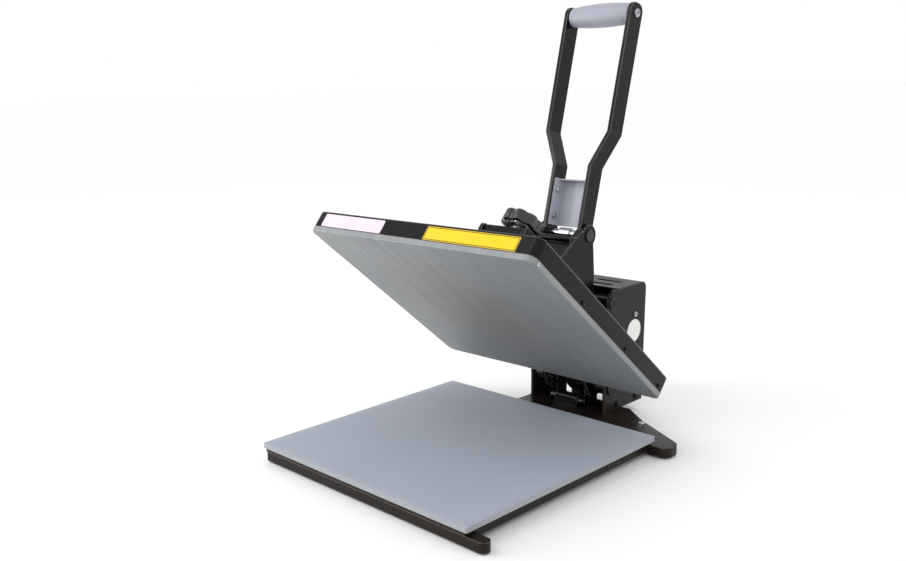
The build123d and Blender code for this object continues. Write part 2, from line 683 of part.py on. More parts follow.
def handle_bar(side):
    """A flat bar that steps outward half way up, with a lower horn for the link pin."""
    low = BAR_IN
    high = BAR_IN + BAR_SPREAD
    with BuildPart() as bar:
        with BuildSketch(Plane.XZ.offset(-BAR_WIDE / 2)):
            with BuildLine():
                Polyline(
                    (side * low, -4), (side * low, JOG_START), (side * high, JOG_END),
                    (side * high, HANDLE_LONG + 14), (side * (high + BAR_THICK), HANDLE_LONG + 14),
                    (side * (high + BAR_THICK), JOG_END - 1.3),
                    (side * (low + BAR_THICK), JOG_START - 1.3),
                    (side * (low + BAR_THICK), -4), close=True,
                )
            make_face()
        extrude(amount=BAR_WIDE)
        top = bar.faces().sort_by(Axis.Z)[-1].edges().filter_by(Axis.X)
        fillet(top, 12)
        long_edges = bar.faces().filter_by(Axis.Y).edges().filter_by(Axis.X, reverse=True)
        chamfer(long_edges, EASED)
        with BuildSketch(side_plane(side * low)):
            Circle(15)
            with Locations(Location((LINK_PIN[0] / 2, LINK_PIN[1] / 2, 0), (0, 0, HORN_ANGLE))):
                SlotCenterToCenter(math.hypot(*LINK_PIN), HORN_WIDE)
        extrude(amount=BAR_THICK * side)
        with BuildSketch(side_plane(side * (low - 1))):
            Circle(PIVOT_R + FIT)
            with Locations(*BRACKET_BOLTS):
                Circle(2.5)
            with Locations(Location((*SLOT_MIDDLE, 0), (0, 0, SLOT_ANGLE))):
                SlotCenterToCenter(*HORN_SLOT)
        extrude(amount=(BAR_THICK + 2) * side, mode=Mode.SUBTRACT)
        with BuildSketch(side_plane(side * (high - 1))):
            with Locations((0, HANDLE_LONG)):
                Circle(5)
        extrude(amount=(BAR_THICK + 2) * side, mode=Mode.SUBTRACT)
    return bar


keep(handle_bar(-1), "handle_left_bar", HANDLE_UP)
keep(handle_bar(1), "handle_right_bar", HANDLE_UP)

# Barrel grip on its cross rod
GRIP_HALF = BAR_IN + BAR_SPREAD - 0.5
with BuildPart() as grip:
    with BuildSketch(Plane.XY):
        with BuildLine():
            Line((-GRIP_HALF, 5), (-GRIP_HALF, 13.5))
            ThreePointArc((-GRIP_HALF, 13.5), (0, 16.5), (GRIP_HALF, 13.5))
            Line((GRIP_HALF, 13.5), (GRIP_HALF, 5))
            Line((GRIP_HALF, 5), (-GRIP_HALF, 5))
        make_face()
        fillet(vertices().group_by(Axis.Y)[-1], 2)
    revolve(axis=Axis.X)
keep(grip, "grip", HANDLE_UP * Location((0, 0, HANDLE_LONG)))

with BuildPart() as grip_rod:
    with BuildSketch(side_plane(0)):
        with Locations((0, HANDLE_LONG)):
            Circle(5)
    extrude(amount=BAR_IN + BAR_SPREAD + BAR_THICK, both=True)
keep(grip_rod, "grip_rod", HANDLE_UP)

# Domed screws at the grip and on the bracket
with BuildPart() as handle_bolts:
    for out in (1, -1):
        with BuildSketch(side_plane((BAR_IN + BAR_SPREAD + BAR_THICK) * out)):
            with Locations((0, HANDLE_LONG)):
                Circle(6)
        extrude(amount=3 * out)
        with BuildSketch(side_plane((BAR_IN + BAR_THICK) * out)):
            with Locations(*BRACKET_BOLTS):
                Circle(2.5)
        extrude(amount=-(BAR_THICK + 2) * out)
        with BuildSketch(side_plane((BAR_IN - 2) * out)):
            with Locations(*BRACKET_BOLTS):
                Circle(4.5)
        extrude(amount=-3 * out)
    chamfer(handle_bolts.faces().sort_by(Axis.X)[-1].edges(), 1)
    chamfer(handle_bolts.faces().sort_by(Axis.X)[0].edges(), 1)
keep(handle_bolts, "handle_bolts", HANDLE_UP)

# U-shaped bracket that ties the bars together: web at the back, top edge turned forward
with BuildPart() as handle_bracket:
    with Locations((0, 12.5, 45)):
        Box(2 * BAR_IN, 2, 68)
    with Locations((BAR_IN - 1, 0, 45), (-BAR_IN + 1, 0, 45)):
        Box(2, 23, 68)
    with Locations((0, 6, 78)):
        Box(2 * BAR_IN, 15, 2)
    for out in (1, -1):
        with BuildSketch(side_plane(BAR_IN * out)):
            with Locations(*BRACKET_BOLTS):
                Circle(2.5)
        extrude(amount=-2 * out, mode=Mode.SUBTRACT)
keep(handle_bracket, "handle_bracket", HANDLE_UP)

# ================= heating platen, drawn closed =================

with BuildPart() as heating_plate:
    with BuildSketch(Plane.XY.offset(FACE)):
        with Locations((0, PLATEN_MIDDLE)):
            RectangleRounded(PLATEN_WIDE, PLATEN_DEEP, PLATEN_CORNER)
    extrude(amount=PLATE_THICK)
    chamfer(heating_plate.faces().sort_by(Axis.Z)[0].edges(), 1.0)
keep(heating_plate, "heating_plate", ARMS_UP)

# Tubular heater laid back and forth on the plate
with BuildPart() as heating_element:
    with BuildLine() as element_path:
        FilletPolyline(
            (-40, 160, FACE + PLATE_THICK + 4.2), (-140, 160, FACE + PLATE_THICK + 4.2),
            (-140, -140, FACE + PLATE_THICK + 4.2), (-60, -140, FACE + PLATE_THICK + 4.2),
            (-60, 90, FACE + PLATE_THICK + 4.2), (60, 90, FACE + PLATE_THICK + 4.2),
            (60, -140, FACE + PLATE_THICK + 4.2), (140, -140, FACE + PLATE_THICK + 4.2),
            (140, 160, FACE + PLATE_THICK + 4.2), (40, 160, FACE + PLATE_THICK + 4.2),
            radius=30,
        )
    with BuildSketch(Plane(element_path.line @ 0, z_dir=element_path.line % 0)):
        Circle(4)
    sweep()
keep(heating_element, "heating_element", ARMS_UP)

with BuildPart() as insulation_blanket:
    with Locations((0, PLATEN_MIDDLE, FACE + 17)):
        Box(PLATEN_WIDE - 12, PLATEN_DEEP - 12, 9, align=(Align.CENTER, Align.CENTER, Align.MIN))
    fillet(insulation_blanket.edges().filter_by(Axis.Z), 10)
keep(insulation_blanket, "insulation_blanket", ARMS_UP)

# Cover: pressed steel box, open below, with rounded corners and a soft top edge
with BuildPart() as platen_cover:
    with BuildSketch(Plane.XY.offset(FACE + PLATE_THICK)):
        with Locations((0, PLATEN_MIDDLE)):
            RectangleRounded(PLATEN_WIDE, PLATEN_DEEP, PLATEN_CORNER)
    extrude(amount=PLATEN_HIGH - PLATE_THICK)
    fillet(platen_cover.faces().sort_by(Axis.Z)[-1].edges(), 4)
    offset(amount=-SHEET, openings=platen_cover.faces().sort_by(Axis.Z)[0])
keep(platen_cover, "platen_cover", ARMS_UP)

# Moulded strain relief on the cover's rear wall, where the leads come out
with BuildPart() as cable_gland:
    with BuildSketch(Plane.XZ.offset(-PLATEN_REAR)):
        with Locations((0, GLAND_Z)):
            SlotOverall(38, 16)
    extrude(amount=-3)
    with BuildSketch(Plane.XZ.offset(-PLATEN_REAR)):
        with Locations((0, GLAND_Z)):
            SlotOverall(29, 10.5)
    extrude(amount=PLATEN_REAR - GLAND_END)
    fillet(cable_gland.edges().group_by(Axis.Y)[-1], 1.2)
keep(cable_gland, "cable_gland", ARMS_UP)

# Round-head screws round the sides: the front pair in the plate's edge, the others in the cover
COVER_SCREW_R = 2.9
COVER_SCREWS = [
    (-157, FACE + 4), (-55, FACE + PLATE_THICK + 6), (65, FACE + PLATE_THICK + 6),
    (170, FACE + PLATE_THICK + 6),
]
with BuildPart() as cover_screws:
    for out in (1, -1):
        with BuildSketch(side_plane(PLATEN_WIDE / 2 * out)):
            with Locations(*COVER_SCREWS):
                Circle(COVER_SCREW_R)
        extrude(amount=2.2 * out)
keep(cover_screws, "cover_screws", ARMS_UP)

# Labels on the front band: blank, a white one and a yellow one
LABEL_Z = FACE + PLATE_THICK + 1.2
LABEL_HIGH = 19.2
with BuildPart() as white_label:
    with Locations((-116, PLATEN_FRONT, LABEL_Z)):
        Box(118, 0.3, LABEL_HIGH, align=(Align.CENTER, Align.MAX, Align.MIN))
keep(white_label, "white_label", ARMS_UP)

with BuildPart() as yellow_label:
    with Locations((93, PLATEN_FRONT, LABEL_Z)):
        Box(146, 0.3, LABEL_HIGH, align=(Align.CENTER, Align.MAX, Align.MIN))
keep(yellow_label, "yellow_label", ARMS_UP)

# Thrust plate on the cover, with a socket for the screw end
BOSS_HIGH = 14.0
with BuildPart() as thrust_plate:
    with BuildSketch(Plane.XY.offset(COVER_TOP)):
        RectangleRounded(64, 60, 8)
        Circle(SCREW_R + FIT, mode=Mode.SUBTRACT)
        with Locations((-GUIDE_X, 0), (GUIDE_X, 0)):
            Circle(GUIDE_R, mode=Mode.SUBTRACT)
    extrude(amount=BOSS_HIGH)
    chamfer(thrust_plate.faces().sort_by(Axis.Z)[-1].edges().filter_by(GeomType.LINE), 1.5)
keep(thrust_plate, "thrust_plate", ARMS_UP)

with BuildPart() as guide_rods:
    with BuildSketch(Plane.XY.offset(COVER_TOP)):
        with Locations((-GUIDE_X, 0), (GUIDE_X, 0)):
            Circle(GUIDE_R)
    extrude(amount=BLOCK_HIGH - COVER_TOP + 4)
keep(guide_rods, "guide_rods", ARMS_UP)

# ================= pressure screw and knob, drawn closed =================

with BuildPart() as pressure_screw:
    with BuildSketch(Plane.XY.offset(COVER_TOP + 0.3)):
        Circle(SCREW_R)
    extrude(amount=KNOB_LOW + 12 - COVER_TOP - 0.3)
    chamfer(pressure_screw.faces().sort_by(Axis.Z)[0].edges(), 1.2)
keep(pressure_screw, "pressure_screw", ARMS_UP)

with BuildPart() as knob_collar:
    with BuildSketch(Plane.XY.offset(BLOCK_HIGH + 4.5)):
        Circle(13)
        Circle(SCREW_R, mode=Mode.SUBTRACT)
    extrude(amount=KNOB_LOW - BLOCK_HIGH - 4.5)
keep(knob_collar, "knob_collar", ARMS_UP)

# Lobed knob: a disc with finger hollows round its rim
KNOB_R = 29.0
LOBES = 8
with BuildPart() as knob:
    with BuildSketch(Plane.XY.offset(KNOB_LOW)):
        Circle(KNOB_R)
        with PolarLocations(KNOB_R + 8, LOBES):
            Circle(11, mode=Mode.SUBTRACT)
        fillet(vertices(), 3)
    extrude(amount=KNOB_HIGH - KNOB_LOW)
    fillet(knob.faces().sort_by(Axis.Z)[-1].edges(), 2)
    with BuildSketch(Plane.XY.offset(KNOB_LOW)):
        Circle(SCREW_R)
    extrude(amount=12, mode=Mode.SUBTRACT)
keep(knob, "knob", ARMS_UP)
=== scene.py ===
import json
import math

import bmesh
import bpy
import numpy as np
from mathutils import Matrix, Vector


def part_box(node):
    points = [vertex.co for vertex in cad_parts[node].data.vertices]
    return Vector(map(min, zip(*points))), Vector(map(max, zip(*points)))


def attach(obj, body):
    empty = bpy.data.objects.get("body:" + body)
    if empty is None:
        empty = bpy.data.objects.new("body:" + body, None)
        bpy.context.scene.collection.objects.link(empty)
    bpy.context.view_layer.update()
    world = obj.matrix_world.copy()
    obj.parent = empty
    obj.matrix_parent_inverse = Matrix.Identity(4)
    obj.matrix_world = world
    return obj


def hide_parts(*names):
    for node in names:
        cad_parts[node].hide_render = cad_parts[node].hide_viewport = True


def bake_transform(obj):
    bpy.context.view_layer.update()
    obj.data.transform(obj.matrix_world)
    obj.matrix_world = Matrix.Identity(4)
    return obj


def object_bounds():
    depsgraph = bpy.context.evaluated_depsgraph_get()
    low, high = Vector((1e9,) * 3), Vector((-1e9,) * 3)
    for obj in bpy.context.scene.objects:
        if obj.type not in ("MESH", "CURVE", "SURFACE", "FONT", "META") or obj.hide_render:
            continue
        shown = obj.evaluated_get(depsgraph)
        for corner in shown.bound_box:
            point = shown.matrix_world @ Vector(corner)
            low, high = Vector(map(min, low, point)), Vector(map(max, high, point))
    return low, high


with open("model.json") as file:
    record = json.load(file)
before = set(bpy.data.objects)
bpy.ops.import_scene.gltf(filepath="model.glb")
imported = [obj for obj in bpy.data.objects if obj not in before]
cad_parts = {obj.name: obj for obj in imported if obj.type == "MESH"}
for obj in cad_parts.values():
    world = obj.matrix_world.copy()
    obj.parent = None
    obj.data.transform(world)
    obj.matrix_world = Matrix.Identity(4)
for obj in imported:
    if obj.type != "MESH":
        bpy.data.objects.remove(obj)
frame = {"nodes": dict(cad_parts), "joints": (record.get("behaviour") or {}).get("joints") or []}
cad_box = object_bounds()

# ---------------------------------------------------------------------------------------------
# Feet, rails and table tray: folded mild steel, blasted and powder coated black, bolted together
# from below. The baked coat is semi-gloss with a fine orange peel; its edges are painted lighter,
# partly as rubbed-thin coat and partly as painted highlight.


def linear(colour):
    """An sRGB hex colour as linear RGBA: ((c + 0.055) / 1.055) ** 2.4, or c / 12.92 when dark."""
    parts = [int(colour[i:i + 2], 16) / 255 for i in (1, 3, 5)]
    return (*[c / 12.92 if c <= 0.04045 else ((c + 0.055) / 1.055) ** 2.4 for c in parts], 1.0)


def add(tree, kind, inputs=None, **attributes):
    """Add one shader node. An input is a plain value, or another node's output to link."""
    node = tree.nodes.new("ShaderNode" + kind)
    for name, value in attributes.items():
        setattr(node, name, value)
    for socket, value in (inputs or {}).items():
        if isinstance(value, bpy.types.NodeSocket):
            tree.links.new(value, node.inputs[socket])
        else:
            node.inputs[socket].default_value = value
    return node


def begin(name, **sockets):
    """A new material, its tree, its Principled shader with plain values set, and Object coordinates."""
    material = bpy.data.materials.new(name)
    material.use_nodes = True
    tree = material.node_tree
    shader = tree.nodes["Principled BSDF"]
    for socket, value in sockets.items():
        shader.inputs[socket.replace("_", " ")].default_value = value
    return material, tree, shader, add(tree, "TexCoord").outputs["Object"]


ORANGE_PEEL = 0.0016
EDGE_ROUND = 0.0012


def powder_coat(name, coat, edge_wear_and_highlight, dust, roughness):
    """Powder coat: its colour drifts to `dust` in soft clouds and lightens on edges, partly rubbed coat and
    partly painted highlight, over a fine peel.
    """
    material, tree, shader, spot = begin(name, Metallic=0.0, IOR=1.5, Specular_IOR_Level=0.16)
    cloud = add(tree, "TexNoise", {"Vector": spot, "Scale": 14.0, "Detail": 5.0, "Roughness": 0.6})
    fog = add(tree, "MapRange", {"Value": cloud.outputs["Fac"], 1: 0.42, 2: 0.72, 3: 0.0, 4: 0.55})
    tone = add(tree, "Mix", {0: fog.outputs[0], 6: linear(coat), 7: linear(dust)}, data_type="RGBA")
    # edges found by the Bevel node are painted light: partly coat rubbed thin, partly a painted highlight for
    # the light that rounded edges catch
    round_off = add(tree, "Bevel", {"Radius": EDGE_ROUND}, samples=4)
    flat = add(tree, "NewGeometry").outputs["Normal"]
    along = add(tree, "VectorMath", {0: round_off.outputs[0], 1: flat}, operation="DOT_PRODUCT")
    edge = add(tree, "MapRange", {"Value": along.outputs["Value"], 1: 0.985, 2: 0.86, 3: 0.0, 4: 0.8})
    worn = add(tree, "Mix", {0: edge.outputs[0], 6: tone.outputs[2], 7: linear(edge_wear_and_highlight)}, data_type="RGBA")
    spread = {1: 0.3, 2: 0.7, 3: roughness - 0.05, 4: roughness + 0.08}
    gloss = add(tree, "MapRange", {"Value": cloud.outputs["Fac"], **spread})
    peel_noise = add(tree, "TexNoise", {"Vector": spot, "Scale": 1 / ORANGE_PEEL, "Detail": 2.0})
    bump = add(tree, "Bump", {"Height": peel_noise.outputs["Fac"], "Strength": 0.12, "Distance": 0.0002,
                              "Normal": round_off.outputs[0]})
    tree.links.new(worn.outputs[2], shader.inputs["Base Color"])
    tree.links.new(gloss.outputs[0], shader.inputs["Roughness"])
    tree.links.new(bump.outputs[0], shader.inputs["Normal"])
    return material


def paint(material, *names):
    """Give CAD nodes a finish through their objects' material slots."""
    for name in names:
        piece = frame["nodes"][name]
        if not piece.material_slots:
            piece.data.materials.append(material)
        for place in piece.material_slots:
            place.material = material


# the third colour is the edge colour: rubbed coat and painted highlight together
black_coat = powder_coat("black powder coat on folded steel", "#1d1815", "#8a8178", "#28221e", 0.32)
paint(black_coat, "front_foot", "rear_foot", "base_rails", "lower_tray")

# Moulded rubber buttons under the feet: matt, slightly grey where they have picked up bench dust.


def moulded_rubber(name, tone, dusty, roughness, grain=0.0022):
    """Matt rubber or soft PVC: two close tones in clouds, and a fine moulded grain."""
    material, tree, shader, spot = begin(name, Metallic=0.0, IOR=1.52)
    cloud = add(tree, "TexNoise", {"Vector": spot, "Scale": 60.0, "Detail": 4.0})
    colour = add(tree, "Mix", {0: cloud.outputs["Fac"], 6: linear(tone), 7: linear(dusty)}, data_type="RGBA")
    gloss = add(tree, "MapRange", {"Value": cloud.outputs["Fac"], 3: roughness - 0.08, 4: roughness + 0.08})
    dots = add(tree, "TexNoise", {"Vector": spot, "Scale": 1 / grain, "Detail": 3.0})
    bump = add(tree, "Bump", {"Height": dots.outputs["Fac"], "Strength": 0.2, "Distance": 0.0002})
    tree.links.new(colour.outputs[2], shader.inputs["Base Color"])
    tree.links.new(gloss.outputs[0], shader.inputs["Roughness"])
    tree.links.new(bump.outputs[0], shader.inputs["Normal"])
    return material


paint(moulded_rubber("moulded rubber", "#161616", "#2a2a29", 0.7), "rubber_feet")

# ---------------------------------------------------------------------------------------------
# Work pad: silicone sponge sheet, skinned on top and knife-cut square, laid on the tray.
# The skin is a cool matt grey with faint clouds; the cut edge shows paler open cells.


def rounded_outline(half_x, half_y, corner, along=14, turn=6):
    """Points round a rectangle: straight runs of `along` steps joined by quarter circles of `turn` steps."""
    angle = np.linspace(0, math.pi / 2, turn)
    points = []
    for quarter, (sx, sy) in enumerate(((1, 1), (-1, 1), (-1, -1), (1, -1))):
        a = angle + quarter * math.pi / 2
        arc_x = sx * (half_x - corner) + corner * np.cos(a)
        arc_y = sy * (half_y - corner) + corner * np.sin(a)
        points.append(np.stack([arc_x, arc_y], 1))
    rows = []
    for here, following in zip(points, points[1:] + points[:1]):
        rows.append(here)
        step = np.linspace(0, 1, along + 1)[1:-1, None]
        rows.append(here[-1] + (following[0] - here[-1]) * step)
    return np.concatenate(rows)


def make_piece(name, grids, material, smooth=35, **values):
    """A mesh piece from grids of points (rows x columns x 3). Each grid's columns close into rings,
    its end rows close into poles, and `values` hold one number per point, kept as attributes."""
    corners, quads, start = [], [], 0
    for grid in grids:
        rows, columns = grid.shape[:2]
        index = start + np.arange(rows * columns).reshape(rows, columns)
        beside = np.roll(index, -1, axis=1)
        quads.append(np.stack([index[:-1], beside[:-1], beside[1:], index[1:]], -1).reshape(-1, 4))
        corners.append(grid.reshape(-1, 3))
        start += rows * columns
    mesh = bpy.data.meshes.new(name)
    mesh.from_pydata(np.concatenate(corners), [], np.concatenate(quads).tolist())
    for key, numbers in values.items():
        mesh.attributes.new(key, "FLOAT", "POINT").data.foreach_set("value", np.ravel(numbers))
    work = bmesh.new()
    work.from_mesh(mesh)
    bmesh.ops.remove_doubles(work, verts=work.verts, dist=1e-6)
    bmesh.ops.recalc_face_normals(work, faces=work.faces)
    work.to_mesh(mesh)
    work.free()
    mesh.polygons.foreach_set("use_smooth", np.ones(len(mesh.polygons), bool))
    mesh.set_sharp_from_angle(angle=math.radians(smooth))
    mesh.materials.append(material)
    piece = bpy.data.objects.new(name, mesh)
    bpy.context.scene.collection.objects.link(piece)
    return piece


pad_low, pad_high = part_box("silicone_pad")
PAD_CORNER = 0.0025
PAD_WAVE = 0.00012

half = pad_high.x
outline = rounded_outline(half, half, PAD_CORNER, along=40)
# rows from the middle of the underside, out, up the cut edge and back in over the skin: reach, height, cut
reach = np.array([0.0, 0.5, 1, 1, 1, 1, 1, 1, 1, 1, 1, 0.94, 0.85, 0.7, 0.5, 0.3, 0.12, 0.0])
inset = np.array([0, 0, 0.4, 0.0, 0.25, 0.35, 0.2, 0.0, 0.05, 0.25, 0.6, 1, 1, 1, 1, 1, 1, 1]) * 0.001
height = np.array([0, 0, 0, 0.3, 1.8, 3.5, 5.2, 6.1, 6.55, 6.85, 7, 7, 7, 7, 7, 7, 7, 7]) * 0.001
cut = np.array([1, 1, 1, 1, 1, 1, 1, 1, 0.9, 0.45, 0.1, 0, 0, 0, 0, 0, 0, 0])
flat_xy = outline[None] * (reach * (1 - inset / half))[:, None, None]
rise = np.broadcast_to((pad_low.z + height)[:, None], flat_xy.shape[:2]).copy()
rise -= PAD_WAVE * (cut == 0)[:, None] * (1 + np.sin(flat_xy[..., 0] * 31) * np.cos(flat_xy[..., 1] * 23))
pad_grid = np.concatenate([flat_xy, rise[..., None]], -1)

sponge, tree, shader, spot = begin("silicone sponge sheet", Metallic=0.0, IOR=1.41, Sheen_Weight=0.08)
cut_face = add(tree, "Attribute", attribute_name="cut").outputs["Fac"]
cloud = add(tree, "TexNoise", {"Vector": spot, "Scale": 7.0, "Detail": 6.0, "Roughness": 0.55})
speck = add(tree, "TexNoise", {"Vector": spot, "Scale": 420.0, "Detail": 2.0})
tones = {6: linear("#9aa1ae"), 7: linear("#a9b0bd")}
shade = add(tree, "Mix", {0: cloud.outputs["Fac"], **tones}, data_type="RGBA")
fleck = add(tree, "MapRange", {"Value": speck.outputs["Fac"], 1: 0.35, 2: 0.7, 3: 0.0, 4: 0.35})
skin = add(tree, "Mix", {0: fleck.outputs[0], 6: shade.outputs[2], 7: linear("#9298a4")}, data_type="RGBA")
colour = add(tree, "Mix", {0: cut_face, 6: skin.outputs[2], 7: linear("#9ea1a6")}, data_type="RGBA")
# cells are about 0.4 mm across, drawn at 1.5 mm so that they show
cells = add(tree, "TexVoronoi", {"Vector": spot, "Scale": 650.0})
depth = add(tree, "MapRange", {"Value": cut_face, 3: 0.12, 4: 0.7})
relief = {"Strength": depth.outputs[0], "Distance": 0.0003}
bump = add(tree, "Bump", {"Height": cells.outputs["Distance"], **relief})
rough = add(tree, "MapRange", {"Value": cloud.outputs["Fac"], 1: 0.3, 2: 0.7, 3: 0.62, 4: 0.74})
tree.links.new(colour.outputs[2], shader.inputs["Base Color"])
tree.links.new(bump.outputs[0], shader.inputs["Normal"])
tree.links.new(rough.outputs[0], shader.inputs["Roughness"])

pad = make_piece("work_pad", [pad_grid], sponge, cut=np.repeat(cut, len(outline)))
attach(pad, "base")
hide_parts("silicone_pad")

# ---------------------------------------------------------------------------------------------
# Column: two 4 mm side plates, an inner bulkhead and a folded rear cover, all powder coated black.
# Domed socket screws hold the cover, zinc plated, and the foot, blackened. A blank sticker is on the right.

paint(black_coat, "column_left_plate", "column_right_plate", "rear_cover", "bulkhead")


def plated_metal(name, tone, dull, roughness, lay=(600.0, 60.0, 60.0)):
    """Metal: tool lines, stretched as `lay` says in cycles per metre, tint it and catch the light."""
    material, tree, shader, spot = begin(name, Metallic=1.0)
    drawn = add(tree, "Mapping", {"Vector": spot, "Scale": lay})
    lines = add(tree, "TexNoise", {"Vector": drawn.outputs[0], "Scale": 1.0, "Detail": 3.0})
    cloud = add(tree, "TexNoise", {"Vector": spot, "Scale": 90.0, "Detail": 4.0})
    mixed = add(tree, "Math", {0: lines.outputs["Fac"], 1: cloud.outputs["Fac"]}, operation="MULTIPLY")
    stain = add(tree, "MapRange", {"Value": mixed.outputs[0], 1: 0.15, 2: 0.4, 3: 0.0, 4: 1.0})
    colour = add(tree, "Mix", {0: stain.outputs[0], 6: linear(dull), 7: linear(tone)}, data_type="RGBA")
    gloss = add(tree, "MapRange", {"Value": stain.outputs[0], 3: roughness + 0.1, 4: roughness})
    bump = add(tree, "Bump", {"Height": lines.outputs["Fac"], "Strength": 0.15, "Distance": 0.0001})
    tree.links.new(colour.outputs[2], shader.inputs["Base Color"])
    tree.links.new(gloss.outputs[0], shader.inputs["Roughness"])
    tree.links.new(bump.outputs[0], shader.inputs["Normal"])
    return material


zinc = plated_metal("bright zinc plate on steel", "#d5d8dc", "#a3a7ac", 0.24, lay=(90.0, 90.0, 90.0))
paint(zinc, "foot_bolts", "arm_bolts")
SCREW_STEPS = 36


def button_head(face_x, y, z, out, radius, high):
    """A domed head with a hexagon socket, on a face at `face_x` that looks towards `out` along X: the rim
    rises, the dome is a quarter ellipse, and the socket is a hexagon with a cone-shaped floor."""
    angle = np.linspace(0, 2 * math.pi, SCREW_STEPS, endpoint=False)
    socket = 0.42 * radius / np.cos((angle + math.pi / 6) % (math.pi / 3) - math.pi / 6)
    arc = np.linspace(0, math.pi / 2, 8)
    dome_r = radius * (0.52 + 0.48 * np.cos(arc))
    dome_x = high * (0.3 + 0.7 * np.sin(arc))
    rings = [(0.0, 0.0), (radius, 0.0), *zip(dome_r, dome_x)]
    distance = [np.full(SCREW_STEPS, r) for r, _ in rings] + [socket, socket * 0.94, socket * 0]
    lift = [x for _, x in rings] + [high * 0.98, high * 0.35, high * 0.25]
    r, x = np.array(distance), np.array(lift)[:, None]
    grid = [face_x + out * np.broadcast_to(x, r.shape), y + r * np.cos(angle), z + r * np.sin(angle)]
    return np.stack(grid, -1)


BENCH = cad_box[0].z
side_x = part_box("column_right_plate")[1].x
COLUMN_SCREW = (0.0042, 0.0024)
foot_spots = [(0.275, 0.024), (0.325, 0.024), (0.316, 0.060)]   # y, and z above the bench
blackened = plated_metal("blackened steel screw", "#3b3a3b", "#232223", 0.3, lay=(90.0, 90.0, 90.0))


def screw_set(name, heads, material, body, replaced):
    """One piece made of screw heads, riding on `body` in place of a CAD node."""
    piece = make_piece(name, heads, material)
    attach(piece, body)
    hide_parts(replaced)


lower_heads = [
    button_head(out * side_x, y, BENCH + z, out, *COLUMN_SCREW) for out in (1, -1) for y, z in foot_spots
]
UPPER_SCREW_Y = 0.316
upper_heads = [
    button_head(out * side_x, UPPER_SCREW_Y, BENCH + z, out, *COLUMN_SCREW)
    for out, z in ((1, 0.156), (-1, 0.190))
]
screw_set("column_foot_screws", lower_heads, blackened, "base", "column_screws")
screw_set("column_cover_screws", upper_heads, zinc, "base", "column_screws")


def printed_film(name, tint, roughness, line=None):
    """Vinyl film: nearly even colour with faint waves from its adhesive; `line` tints the printed border."""
    material, tree, shader, spot = begin(name, Metallic=0.0, IOR=1.5, Specular_IOR_Level=0.25)
    cloud = add(tree, "TexNoise", {"Vector": spot, "Scale": 30.0, "Detail": 3.0})
    fade = add(tree, "MapRange", {"Value": cloud.outputs["Fac"], 1: 0.3, 2: 0.7, 3: 0.0, 4: 0.06})
    sun = add(tree, "Mix", {0: fade.outputs[0], 6: linear(tint), 7: linear("#b5b0a6")}, data_type="RGBA")
    edge = add(tree, "Attribute", attribute_name="border").outputs["Fac"]
    colour = add(tree, "Mix", {0: edge, 6: sun.outputs[2], 7: linear(line or tint)}, data_type="RGBA")
    gloss = add(tree, "MapRange", {"Value": cloud.outputs["Fac"], 3: roughness - 0.06, 4: roughness + 0.06})
    bump = add(tree, "Bump", {"Height": cloud.outputs["Fac"], "Strength": 0.08, "Distance": 0.0004})
    tree.links.new(colour.outputs[2], shader.inputs["Base Color"])
    tree.links.new(gloss.outputs[0], shader.inputs["Roughness"])
    tree.links.new(bump.outputs[0], shader.inputs["Normal"])
    return material


paint(printed_film("white vinyl sticker", "#f2f1ee", 0.35), "round_label")

# ---------------------------------------------------------------------------------------------
# Controller, switch and inlet: ABS mouldings with a spark-eroded grain, snapped into the sheet metal.
# The display window is dark tinted acrylic, and the relay is potted in pale resin.


def moulded_plastic(name, tone, faded, roughness, grain=0.0012, relief=0.15, clear=0.0):
    """Moulded plastic: a close pair of tones, and an even grain from the mould over a soft gloss."""
    material, tree, shader, spot = begin(name, Metallic=0.0, IOR=1.5, Coat_Weight=clear, Coat_Roughness=0.1)
    cloud = add(tree, "TexNoise", {"Vector": spot, "Scale": 22.0, "Detail": 4.0})
    colour = add(tree, "Mix", {0: cloud.outputs["Fac"], 6: linear(tone), 7: linear(faded)}, data_type="RGBA")
    spread = {1: 0.3, 2: 0.7, 3: roughness - 0.04, 4: roughness + 0.05}
    gloss = add(tree, "MapRange", {"Value": cloud.outputs["Fac"], **spread})
    erosion = add(tree, "TexNoise", {"Vector": spot, "Scale": 1 / grain, "Detail": 3.0})
    bump = add(tree, "Bump", {"Height": erosion.outputs["Fac"], "Strength": relief, "Distance": 0.0001})
    tree.links.new(colour.outputs[2], shader.inputs["Base Color"])
    tree.links.new(gloss.outputs[0], shader.inputs["Roughness"])
    tree.links.new(bump.outputs[0], shader.inputs["Normal"])
    return material


housing = moulded_plastic("black ABS moulding", "#1b1b1c", "#232324", 0.48)
paint(housing, "controller_body", "switch_frame", "power_inlet", "cable_gland")
paint(moulded_plastic("red polycarbonate rocker", "#6d1212", "#7d1a17", 0.3), "switch_rocker")
grey_key = moulded_plastic("grey silicone key", "#6a6d72", "#74777c", 0.55)
paint(grey_key, "button_down", "button_set", "button_up")
tinted = moulded_plastic("tinted acrylic window", "#140607", "#1d0a0b", 0.12, relief=0.02, clear=0.6)
paint(tinted, "display_window")
paint(moulded_plastic("pale potting resin", "#d3d2cb", "#c6c5bd", 0.45), "relay")

# ---------------------------------------------------------------------------------------------
# Shafts and springs inside the column: painted shafts, ground steel pins, bronze bushes, black spacer
# tubes, and two gas springs whose nitrided rods slide in painted tubes. The links are laser-cut plate.

ground_steel = plated_metal("ground steel bar", "#c9cbcd", "#94979b", 0.22)
paint(ground_steel, "spring_head_pin", "link_pin", "grip_rod", "guide_rods")
paint(plated_metal("nitrided rod", "#3d3e42", "#2b2c30", 0.2), "spring_rods")
paint(plated_metal("sintered bronze", "#a9824c", "#7d5f38", 0.4), "hinge_bushes")
